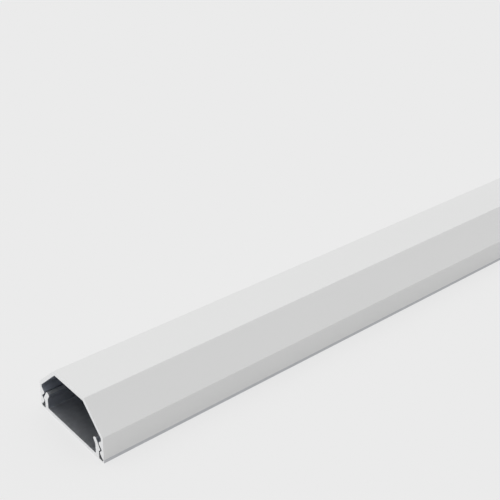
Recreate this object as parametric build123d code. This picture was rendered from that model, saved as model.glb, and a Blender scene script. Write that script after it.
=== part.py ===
"""Two-piece aluminium cable raceway: a slotted base tray and a clip-over cover, both extruded.

Millimetres. X runs along the raceway, Y across it and Z up from the wall face.
The origin is in the middle of the length, on the centreline of the base's underside.
"""

import os
from math import cos, hypot, radians, sin, tan

from build123d import *

# Overall size
length = 1100.0
width = 33.0
height = 17.3

# Cover: side walls, slanted shoulders and a flat top
cover_wall = 1.2
side_wall = 1.0
side_wall_top = 8.85
top_width = 15.7
crease_radius = 0.3

# Base: floor plate, the two springy legs that stand on it, and a rimmed gutter outside each leg
floor_thickness = 1.1
gutter_floor = 0.3
rim_height = 1.1
rim_width = 0.2
rim_slope = 0.4
leg_setback = 2.35
leg_thickness = 1.6
leg_height = 6.0
leg_lean = 31.0
leg_tip_radius = 0.5
gutter_fillet = 0.3
floor_fillet = 0.4

# Snap fit: the bead outside each leg, and the two ribs inside each side wall
bead_reach = 0.65
bead_underside = 1.8
bead_slope_height = 0.6
bead_land = 0.3
snap_clearance = 0.48
groove_wall = 0.9
lower_rib_land = 0.4
upper_rib_start = 1.7
upper_rib_land = 0.6
upper_rib_shelf = 1.1
wall_foot_land = 0.8
rib_radius = 0.15

# Screw slots, punched across the floor
slot_count = 5
slot_length = 11.0
slot_width = 3.5
slot_corner_radius = 0.4
slot_end_distance = 60.0

# Places that both pieces share, on the side where Y is positive
side_y = width / 2
leg_outer_y = side_y - leg_setback
bead_y = leg_outer_y + bead_reach
bead_start_z = floor_thickness + bead_underside
bead_low_z = bead_start_z + bead_slope_height
bead_top_z = bead_low_z + bead_land


def leg_face_y(z):
    """Y of a leg's leaning outer face at a height above its bead."""
    return bead_y - (z - bead_top_z) * tan(radians(leg_lean))


def mirrored_outline(half):
    """Closes an outline of (y, z, radius) corners, given where Y is positive."""
    other_half = [(-y, z, radius) for y, z, radius in reversed(half)]
    return half + other_half


def extrude_section(outline):
    """Runs a closed outline of (y, z, radius) corners along the whole length."""
    corners = [(y, z) for y, z, radius in outline]
    radii = [radius for y, z, radius in outline]
    end_plane = Plane.YZ.offset(-length / 2)
    section = make_face(end_plane * FilletPolyline(corners, radius=radii, close=True))
    return extrude(section, length, dir=(1, 0, 0))


def base_outline():
    """Floor plate with its gutters and rims, and legs that lean inward above their beads."""
    leg_inner_y = leg_outer_y - leg_thickness
    tip_z = floor_thickness + leg_height
    tip_outer_y = leg_face_y(tip_z)
    tip_inner_y = tip_outer_y - leg_thickness * cos(radians(leg_lean))
    tip_inner_z = tip_z - leg_thickness * sin(radians(leg_lean))
    knee_z = tip_inner_z - (leg_inner_y - tip_inner_y) / tan(radians(leg_lean))
    return mirrored_outline([
        (side_y, 0, 0),
        (side_y, rim_height, 0),
        (side_y - rim_width, rim_height, 0),
        (side_y - rim_width - rim_slope, gutter_floor, 0),
        (leg_outer_y, gutter_floor, gutter_fillet),
        (leg_outer_y, bead_start_z, rib_radius),
        (bead_y, bead_low_z, rib_radius),
        (bead_y, bead_top_z, rib_radius),
        (tip_outer_y, tip_z, leg_tip_radius),
        (tip_inner_y, tip_inner_z, leg_tip_radius),
        (leg_inner_y, knee_z, floor_fillet),
        (leg_inner_y, floor_thickness, floor_fillet),
    ])


def shoulder_inside():
    """Inner corners of a shoulder: where it meets the side wall, and where it meets the top."""
    across = side_y - top_width / 2
    rise = height - side_wall_top
    slant = hypot(across, rise)
    normal_y = rise / slant
    normal_z = across / slant
    reach = normal_y * side_y + normal_z * side_wall_top - cover_wall
    low_y = side_y - side_wall
    low_z = (reach - normal_y * low_y) / normal_z
    high_z = height - cover_wall
    high_y = (reach - normal_z * high_z) / normal_y
    return (low_y, low_z), (high_y, high_z)


def cover_outline():
    """Five faces outside; inside each wall, two ribs round the leg's bead; a foot on the rim."""
    shoulder_low, shoulder_high = shoulder_inside()
    groove_y = side_y - groove_wall
    lower_rib_y = leg_outer_y + snap_clearance
    lower_rib_z = bead_start_z
    groove_bottom_z = lower_rib_z + (groove_y - lower_rib_y)
    upper_rib_z = bead_top_z + upper_rib_start
    upper_rib_y = leg_face_y(upper_rib_z) + snap_clearance / cos(radians(leg_lean))
    shelf_z = upper_rib_z + upper_rib_land
    groove_top_z = upper_rib_z - (groove_y - upper_rib_y)
    return mirrored_outline([
        (*shoulder_high, 0),
        (*shoulder_low, 0),
        (side_y - side_wall, shelf_z + upper_rib_shelf, rib_radius),
        (upper_rib_y, shelf_z, rib_radius),
        (upper_rib_y, upper_rib_z, rib_radius),
        (groove_y, groove_top_z, 0),
        (groove_y, groove_bottom_z, 0),
        (lower_rib_y, lower_rib_z, rib_radius),
        (lower_rib_y, lower_rib_z - lower_rib_land, rib_radius),
        (side_y - wall_foot_land, rim_height, 0),
        (side_y, rim_height, 0),
        (side_y, side_wall_top, crease_radius),
        (top_width / 2, height, crease_radius),
    ])


def punch_slots(tray):
    """Cuts the screw slots, evenly spaced between the two that lie nearest the ends."""
    first_slot_x = slot_end_distance - length / 2
    pitch = (length - 2 * slot_end_distance) / (slot_count - 1)
    slot = extrude(RectangleRounded(slot_width, slot_length, slot_corner_radius), floor_thickness)
    for index in range(slot_count):
        tray -= Pos(first_slot_x + index * pitch, 0, 0) * slot
    return tray


os.makedirs("parts", exist_ok=True)
base = punch_slots(extrude_section(base_outline()))
cover = extrude_section(cover_outline())
export_step(base, "parts/base.step")
export_step(cover, "parts/cover.step")
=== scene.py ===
"""Finishes for the cable raceway's base and cover, with a pale floor, soft light and the camera.

Metres and degrees. X runs along the raceway, Y across it and Z up. Its near end is at low X.
"""

from math import radians

import bpy
import numpy as np
from mathutils import Matrix, Vector


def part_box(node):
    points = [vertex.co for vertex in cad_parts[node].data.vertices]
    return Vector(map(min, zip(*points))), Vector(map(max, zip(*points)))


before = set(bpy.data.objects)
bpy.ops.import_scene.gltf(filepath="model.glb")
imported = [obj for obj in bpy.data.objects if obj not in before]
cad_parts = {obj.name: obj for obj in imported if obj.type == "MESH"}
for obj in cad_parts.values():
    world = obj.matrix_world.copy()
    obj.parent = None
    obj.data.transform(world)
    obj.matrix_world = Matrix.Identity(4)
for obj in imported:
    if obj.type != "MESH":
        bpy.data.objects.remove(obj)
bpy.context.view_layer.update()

# Camera: it looks along the heading, an angle from +X, and down by the drop
camera_place = (-0.6588, -0.1938, 0.1845)
camera_heading = 47.91
camera_drop = 29.46
camera_roll = 1.95
picture_width_px = 500
focal_length_px = 977.2
sensor_width_mm = 36.0
nearest_seen = 0.01

# Floor, and the sheet that lies between it and the base
backdrop_color = (0.831, 0.831, 0.831)
floor_size = 30.0
floor_gap = 0.00005
floor_glow_share = 0.85
underlay_gap = 0.00002
underlay_inset = 0.0003

# Light
sky_strength = 0.6
key_direction = (-0.12, 0.285, 0.951)
key_strength = 1.3
key_angle = 80.0

# Nearly all of a noise lies between these two
noise_spread = (0.3, 0.7)

# Paint
paint_color = (0.745, 0.747, 0.745)
paint_roughness = (0.44, 0.54)
paint_clouding = 0.012
peel_depth = 0.000006
die_line_depth = 0.000004

# Bare metal
tray_color = (0.655, 0.668, 0.685)
tray_roughness = (0.38, 0.46)
# Painted shade: the base's outer sides and the legs' inner sides are darker than the tray, and the
# legs bluer, standing in for shade under the cover and in the tunnel
side_painted_shade_color = (0.54, 0.55, 0.57)
leg_painted_shade_color = (0.41, 0.435, 0.485)
side_and_leg_roughness = (0.42, 0.5)
# Painted shade: the cover's bare inside is darker and bluer than the tray, so the tunnel under it
# stays dark
inside_painted_shade_color = (0.44, 0.47, 0.53)
inside_roughness = (0.52, 0.6)
metal_mottling = 0.1
fine_line_depth = 0.000006
die_band_depth = 0.000008

# Sawn metal
# Partly painted light: sawn aluminium is bright, and this colour is pushed near white to stand in
# for light falling on the ends
cut_color_with_painted_light = (0.985, 0.99, 0.995)
cut_roughness = (0.34, 0.5)
cut_metallic = 0.7
cut_mark_shade = 0.13
cut_mark_depth = 0.00001

# How faces are sorted
flat_allowance = 0.00002
straight_facing = 0.99
side_facing = 0.7
channel_half_width = 0.0126


class Shader:
    """A node material that is built step by step, from its texture coordinates to its surface."""

    def __init__(self, name, metallic):
        self.material = bpy.data.materials.new(name)
        self.material.use_nodes = True
        self.nodes = self.material.node_tree.nodes
        self.links = self.material.node_tree.links
        self.surface = self.nodes["Principled BSDF"]
        self.surface.inputs["Metallic"].default_value = metallic
        self.place = self.nodes.new("ShaderNodeTexCoord").outputs["Object"]

    def noise(self, cells, detail=2.0, roughness=0.5):
        """Noise from 0 to 1 whose grain has that many cells to the metre along X, Y and Z."""
        mapping = self.nodes.new("ShaderNodeMapping")
        mapping.inputs["Scale"].default_value = cells
        self.links.new(self.place, mapping.inputs["Vector"])
        noise = self.nodes.new("ShaderNodeTexNoise")
        noise.inputs["Scale"].default_value = 1.0
        noise.inputs["Detail"].default_value = detail
        noise.inputs["Roughness"].default_value = roughness
        self.links.new(mapping.outputs["Vector"], noise.inputs["Vector"])
        return noise.outputs["Fac"]

    def between(self, noise, low, high):
        """Numbers from low to high as the noise crosses its spread."""
        ranged = self.nodes.new("ShaderNodeMapRange")
        ranged.inputs["From Min"].default_value = noise_spread[0]
        ranged.inputs["From Max"].default_value = noise_spread[1]
        ranged.inputs["To Min"].default_value = low
        ranged.inputs["To Max"].default_value = high
        self.links.new(noise, ranged.inputs["Value"])
        return ranged.outputs["Result"]

    def tinted(self, noise, color, darker):
        """The colour, scaled down by up to the darker share as the noise falls."""
        mix = self.nodes.new("ShaderNodeMix")
        mix.data_type = "RGBA"
        mix.inputs["A"].default_value = (*(c * (1 - darker) for c in color), 1)
        mix.inputs["B"].default_value = (*color, 1)
        self.links.new(self.between(noise, 0, 1), mix.inputs["Factor"])
        return mix.outputs["Result"]

    def bump(self, height, depth, normal=None):
        """A normal bumped by a height from 0 to 1 that stands for that depth in metres."""
        bump = self.nodes.new("ShaderNodeBump")
        bump.inputs["Distance"].default_value = depth
        self.links.new(height, bump.inputs["Height"])
        if normal:
            self.links.new(normal, bump.inputs["Normal"])
        return bump.outputs["Normal"]

    def finish(self, color, roughness, normal):
        """Joins the colour, roughness and normal to the surface."""
        self.links.new(color, self.surface.inputs["Base Color"])
        self.links.new(roughness, self.surface.inputs["Roughness"])
        self.links.new(normal, self.surface.inputs["Normal"])
        return self.material


def white_paint():
    """Satin powder coat: a fine peel, hardly any change of shade, faint lines from the die."""
    shader = Shader("white_paint", metallic=0.0)
    peel = shader.noise(cells=(900, 900, 900), detail=3)
    die_lines = shader.noise(cells=(3, 500, 500))
    clouds = shader.noise(cells=(12, 40, 40))
    normal = shader.bump(peel, peel_depth)
    normal = shader.bump(die_lines, die_line_depth, normal)
    color = shader.tinted(clouds, paint_color, paint_clouding)
    return shader.finish(color, shader.between(peel, *paint_roughness), normal)


def bare_metal(name, color, roughness):
    """Mill-finish aluminium, with fine lines along the extrusion and dull patches."""
    shader = Shader(name, metallic=1.0)
    fine_lines = shader.noise(cells=(4, 2600, 2600), detail=4, roughness=0.65)
    die_bands = shader.noise(cells=(1.5, 260, 260))
    dull_patches = shader.noise(cells=(500, 900, 900), detail=4)
    normal = shader.bump(fine_lines, fine_line_depth)
    normal = shader.bump(die_bands, die_band_depth, normal)
    mottled = shader.tinted(dull_patches, color, metal_mottling)
    return shader.finish(mottled, shader.between(dull_patches, *roughness), normal)


def sawn_metal():
    """The cut ends: bright aluminium with the saw's close, slanting marks, made brighter still as
    painted light on the ends.
    """
    shader = Shader("sawn_aluminium_painted_light", metallic=cut_metallic)
    marks = shader.noise(cells=(300, 500, 7000), detail=3, roughness=0.7)
    grain = shader.noise(cells=(4000, 4000, 4000))
    normal = shader.bump(marks, cut_mark_depth)
    color = shader.tinted(marks, cut_color_with_painted_light, cut_mark_shade)
    return shader.finish(color, shader.between(grain, *cut_roughness), normal)


def is_outside(corners, face):
    """Whether the face lies on the outer hull of the piece."""
    beyond = (corners @ np.array(face.normal)).max() - face.normal.dot(face.center)
    return beyond < flat_allowance


def is_cut_end(corners, face):
    """Whether the face is one of the piece's two ends."""
    return abs(face.normal.x) > straight_facing and is_outside(corners, face)


def is_outer_side(corners, face):
    """Whether the face is one of the piece's two upright outer sides."""
    return abs(face.normal.y) > straight_facing and is_outside(corners, face)


def is_channel_side(corners, face):
    """Whether the face looks across the channel, towards its middle."""
    faces_in = face.normal.y * face.center.y < 0 and abs(face.normal.y) > side_facing
    return faces_in and abs(face.center.y) < channel_half_width


def paint_faces(node, rest, special):
    """Gives each face the first finish whose test it passes, or else the finish of the rest."""
    mesh = node.data
    corners = np.array([vertex.co for vertex in mesh.vertices])
    mesh.materials.clear()
    mesh.materials.append(rest)
    for finish, test in special:
        mesh.materials.append(finish)
    tests = [test for finish, test in special]
    for face in mesh.polygons:
        passed = [index for index, test in enumerate(tests, start=1) if test(corners, face)]
        face.material_index = min(passed, default=0)


def dress_base(ends):
    """The base is bare all over. Its outer sides and the legs' inner sides are darker, as painted
    shade for the shade under the cover and in the tunnel.
    """
    tray_metal = bare_metal("bare_aluminium", tray_color, tray_roughness)
    side_metal_painted_shade = bare_metal("side_aluminium_painted_shade", side_painted_shade_color, side_and_leg_roughness)
    leg_metal_painted_shade = bare_metal("leg_aluminium_painted_shade", leg_painted_shade_color, side_and_leg_roughness)
    paint_faces(
        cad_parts["base"],
        tray_metal,
        [(ends, is_cut_end), (side_metal_painted_shade, is_outer_side), (leg_metal_painted_shade, is_channel_side)],
    )


def dress_cover(ends):
    """The cover is painted on its outside only. Its bare inside is darker, as painted shade that
    keeps the tunnel dark.
    """
    inside_metal_painted_shade = bare_metal("inside_aluminium_painted_shade", inside_painted_shade_color, inside_roughness)
    paint_faces(
        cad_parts["cover"],
        inside_metal_painted_shade,
        [(ends, is_cut_end), (white_paint(), is_outside)],
    )


def seen_directly(tree):
    """1 where a ray comes from the camera, or by a reflection or through glass."""
    rays = tree.nodes.new("ShaderNodeLightPath")
    either = rays.outputs["Is Camera Ray"]
    for name in ("Is Glossy Ray", "Is Transmission Ray"):
        add = tree.nodes.new("ShaderNodeMath")
        add.operation = "MAXIMUM"
        tree.links.new(either, add.inputs[0])
        tree.links.new(rays.outputs[name], add.inputs[1])
        either = add.outputs["Value"]
    return either


def make_sheet(name, size, gap):
    """A flat sheet at a gap below the raceway, with a new material of its own."""
    bpy.ops.mesh.primitive_plane_add(size=1, location=(0, 0, -gap))
    sheet = bpy.context.object
    sheet.name = name
    sheet.scale = (*size, 1)
    material = bpy.data.materials.new(f"{name}_paper")
    material.use_nodes = True
    sheet.data.materials.append(material)
    return sheet


def make_floor():
    """A pale floor that keeps the raceway's shadow, with a glow that lights nothing else."""
    floor = make_sheet("floor", (floor_size, floor_size), floor_gap)
    tree = floor.active_material.node_tree
    tree.nodes.remove(tree.nodes["Principled BSDF"])
    paper = tree.nodes.new("ShaderNodeBsdfDiffuse")
    paper.inputs["Color"].default_value = (*backdrop_color, 1)
    glow = tree.nodes.new("ShaderNodeEmission")
    glow.inputs["Color"].default_value = (*backdrop_color, 1)
    share = tree.nodes.new("ShaderNodeMath")
    share.operation = "MULTIPLY"
    share.inputs[1].default_value = floor_glow_share
    tree.links.new(seen_directly(tree), share.inputs[0])
    mix = tree.nodes.new("ShaderNodeMixShader")
    tree.links.new(share.outputs["Value"], mix.inputs["Fac"])
    tree.links.new(paper.outputs["BSDF"], mix.inputs[1])
    tree.links.new(glow.outputs["Emission"], mix.inputs[2])
    tree.links.new(mix.outputs["Shader"], tree.nodes["Material Output"].inputs["Surface"])


def make_underlay():
    """Plain paper under the base. It doesn't glow, so a slot is as dark as the tunnel around it."""
    lowest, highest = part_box("base")
    size = [highest[axis] - lowest[axis] - 2 * underlay_inset for axis in (0, 1)]
    underlay = make_sheet("underlay", size, underlay_gap)
    paper = underlay.active_material.node_tree.nodes["Principled BSDF"]
    paper.inputs["Base Color"].default_value = (*backdrop_color, 1)


def make_sky():
    """An even sky that lights the raceway, and that shows as the same pale shade as the floor."""
    world = bpy.data.worlds.new("sky")
    bpy.context.scene.world = world
    world.use_nodes = True
    tree = world.node_tree
    lighting = tree.nodes["Background"]
    lighting.inputs["Color"].default_value = (1, 1, 1, 1)
    lighting.inputs["Strength"].default_value = sky_strength
    shown = tree.nodes.new("ShaderNodeBackground")
    shown.inputs["Color"].default_value = (*backdrop_color, 1)
    mix = tree.nodes.new("ShaderNodeMixShader")
    tree.links.new(seen_directly(tree), mix.inputs["Fac"])
    tree.links.new(lighting.outputs["Background"], mix.inputs[1])
    tree.links.new(shown.outputs["Background"], mix.inputs[2])
    tree.links.new(mix.outputs["Shader"], tree.nodes["World Output"].inputs["Surface"])


def make_key_light():
    """A broad, soft light from above, a little behind the raceway and towards its near end."""
    light = bpy.data.lights.new("key", "SUN")
    light.energy = key_strength
    light.angle = radians(key_angle)
    lamp = bpy.data.objects.new("key", light)
    lamp.rotation_euler = Vector(key_direction).to_track_quat("Z", "Y").to_euler()
    bpy.context.scene.collection.objects.link(lamp)


def make_camera():
    """The camera stands above and beside the near end and looks down across the raceway."""
    lens = bpy.data.cameras.new("camera")
    lens.sensor_width = sensor_width_mm
    lens.lens = sensor_width_mm * focal_length_px / picture_width_px
    lens.clip_start = nearest_seen
    camera = bpy.data.objects.new("camera", lens)
    turn = Matrix.Rotation(radians(camera_heading - 90), 4, "Z")
    tilt = Matrix.Rotation(radians(90 - camera_drop), 4, "X")
    roll = Matrix.Rotation(radians(camera_roll), 4, "Z")
    camera.matrix_world = Matrix.Translation(camera_place) @ turn @ tilt @ roll
    bpy.context.scene.collection.objects.link(camera)
    bpy.context.scene.camera = camera


cut_ends = sawn_metal()
dress_base(cut_ends)
dress_cover(cut_ends)
make_floor()
make_underlay()
make_sky()
make_key_light()
make_camera()
bpy.context.scene.view_settings.view_transform = "Standard"
